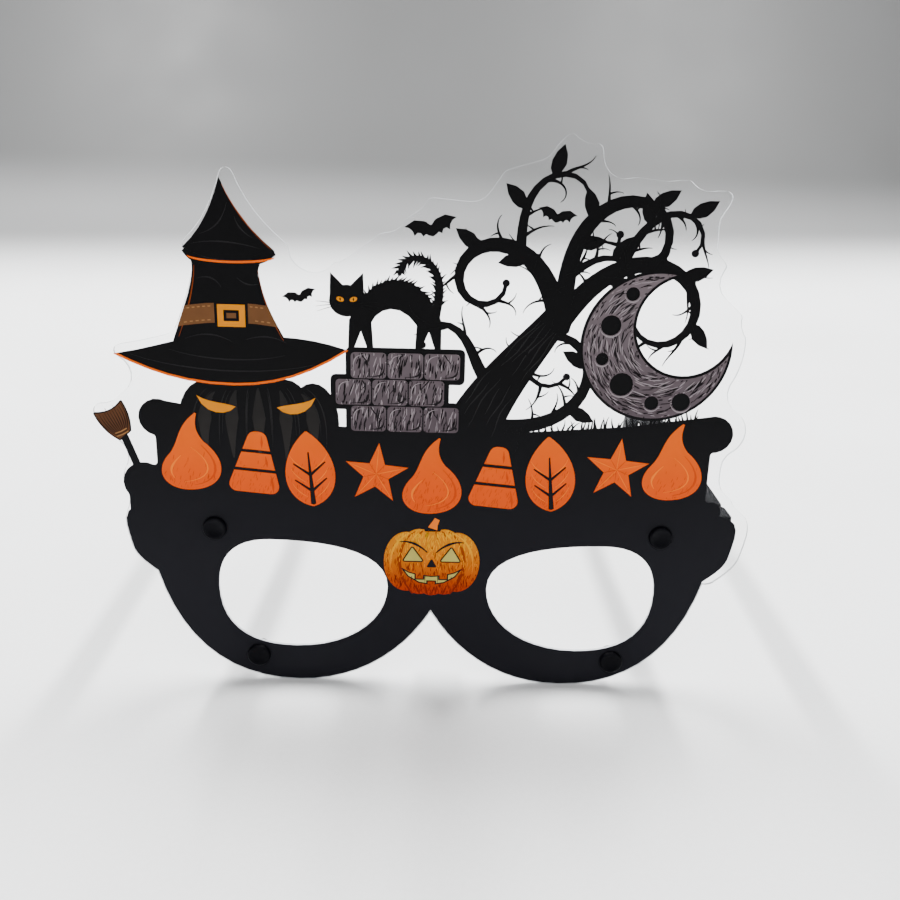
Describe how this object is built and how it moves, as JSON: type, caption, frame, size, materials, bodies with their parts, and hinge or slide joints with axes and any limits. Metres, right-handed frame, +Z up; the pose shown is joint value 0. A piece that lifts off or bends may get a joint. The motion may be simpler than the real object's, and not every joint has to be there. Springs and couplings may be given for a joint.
{
  "type": "novelty glasses",
  "caption": "Party glasses without lenses: a clear die-cut sheet with a printed night scene, riveted to a black frame with folding temples.",
  "frame": {"origin": "middle of the bounding box at its base, where the rims and the temple tips stand", "axes": "+X across the face to the viewer's right, -Y the way the printed front looks, +Z up"},
  "size_m": [0.16, 0.1448, 0.1373],
  "materials": {
    "clear_sheet": "clear, polished",
    "ink_black": "printed, satin",
    "ink_orange": "printed, satin",
    "ink_stone": "printed, satin",
    "ink_brown": "printed, satin",
    "ink_amber": "printed, satin",
    "ink_pumpkin": "printed, satin",
    "frame_plastic": "moulded, satin",
    "rivet_plastic": "moulded, glossy",
    "pin_steel": "plain wire"
  },
  "bodies": {
    "front": {"front_sheet": "clear_sheet", "print_black": "ink_black", "print_orange": "ink_orange", "print_stone": "ink_stone", "print_brown": "ink_brown", "print_amber": "ink_amber", "print_pumpkin": "ink_pumpkin", "frame_front": "frame_plastic", "hinge_pin_left": "pin_steel", "hinge_pin_right": "pin_steel", "rivet_top_left": "rivet_plastic", "rivet_top_right": "rivet_plastic", "rivet_bottom_left": "rivet_plastic", "rivet_bottom_right": "rivet_plastic", "rivet_cap_top_left": "rivet_plastic", "rivet_cap_top_right": "rivet_plastic", "rivet_cap_bottom_left": "rivet_plastic", "rivet_cap_bottom_right": "rivet_plastic"},
    "left_temple": {"temple_left": "frame_plastic"},
    "right_temple": {"temple_right": "frame_plastic"}
  },
  "joints": [
    {"name": "left_temple_fold", "type": "hinge", "parent": "front", "child": "left_temple", "pos_m": [-0.06805, -0.06375, 0.0427], "axis": [0, 0, -1], "range_deg": [0, 90]},
    {"name": "right_temple_fold", "type": "hinge", "parent": "front", "child": "right_temple", "pos_m": [0.07395, -0.06375, 0.0427], "axis": [0, 0, 1], "range_deg": [0, 80]}
  ]
}
